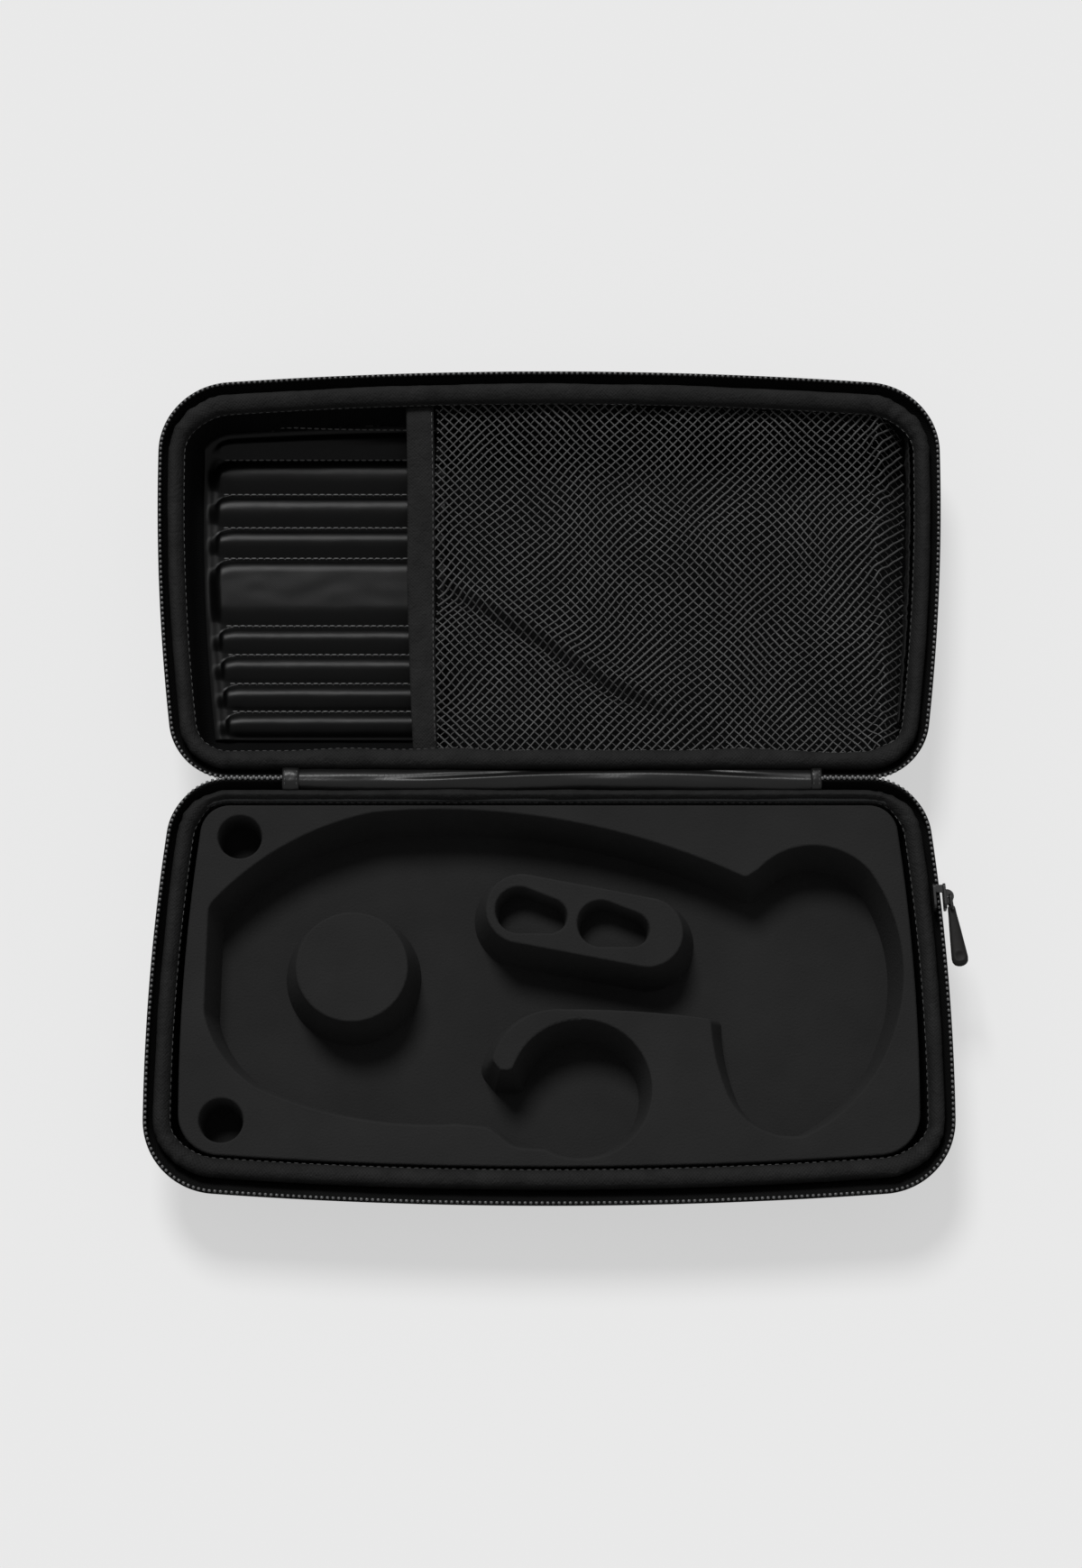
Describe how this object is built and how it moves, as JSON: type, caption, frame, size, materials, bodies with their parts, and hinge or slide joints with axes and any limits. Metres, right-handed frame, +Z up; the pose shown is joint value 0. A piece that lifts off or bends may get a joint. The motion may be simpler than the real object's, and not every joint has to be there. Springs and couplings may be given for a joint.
{
  "type": "stethoscope hard case",
  "caption": "Zippered hard case that opens flat like a book: a cut foam insert in the base, a ribbed pad and a net pocket in the lid, and a zip slider with a pull.",
  "frame": {"origin": "middle of the flat underside of the base tray, the tray with the foam insert, with the case lying open", "axes": "+X to the right along the hinge, +Y from the base over the hinge to the lid, +Z up out of the open trays"},
  "size_m": [0.2873, 0.306, 0.0366],
  "materials": {
    "shell_cloth": "matte woven cloth over moulded foam",
    "lining_cloth": "short-napped knitted cloth",
    "binding_cloth": "matte woven cloth over a padded roll",
    "zip_tape": "matte woven tape",
    "zip_teeth": "semi-gloss moulded coil",
    "insert_foam": "matte fine-celled foam",
    "pad_cloth": "smooth knitted cloth, stitched over soft ribs",
    "net_cord": "knotless elastic net",
    "spine_satin": "satin coated cloth",
    "slider_metal": "satin black enamel",
    "pull_moulding": "smooth matte moulding"
  },
  "bodies": {
    "base": {"base_shell": "shell_cloth", "base_lining": "lining_cloth", "base_binding": "binding_cloth", "base_zip_tape": "zip_tape", "base_zip_chain": "zip_teeth", "insert_floor": "insert_foam", "insert_block": "insert_foam", "round_island": "insert_foam", "pill_island": "insert_foam", "spine_cover": "spine_satin", "spine_tab_left": "spine_satin", "spine_tab_right": "spine_satin"},
    "lid": {"lid_shell": "shell_cloth", "lid_lining": "lining_cloth", "lid_ribbed_pad": "pad_cloth", "lid_binding": "binding_cloth", "lid_zip_tape": "zip_tape", "lid_zip_chain": "zip_teeth", "pocket_net": "net_cord", "net_hem": "binding_cloth", "net_anchor": "binding_cloth"},
    "slider": {"slider_body": "slider_metal", "slider_crown": "slider_metal"},
    "pull": {"pull_link": "slider_metal", "pull_tab": "pull_moulding"}
  },
  "joints": [
    {"name": "lid_hinge", "type": "hinge", "parent": "base", "child": "lid", "pos_m": [0, 0.0765, 0.033], "axis": [1, 0, 0], "range_deg": [0, 180], "deforming": ["spine_cover", "spine_tab_left", "spine_tab_right"]},
    {"name": "slider_travel", "type": "slide", "parent": "base", "child": "slider", "axis": [0.0646, -0.9979, 0], "range_m": [-0.008, 0.054]},
    {"name": "pull_swing", "type": "hinge", "parent": "slider", "child": "pull", "pos_m": [0.1404, 0.03268, 0.033], "axis": [0, 0, 1], "range_deg": [-1, 125]}
  ]
}
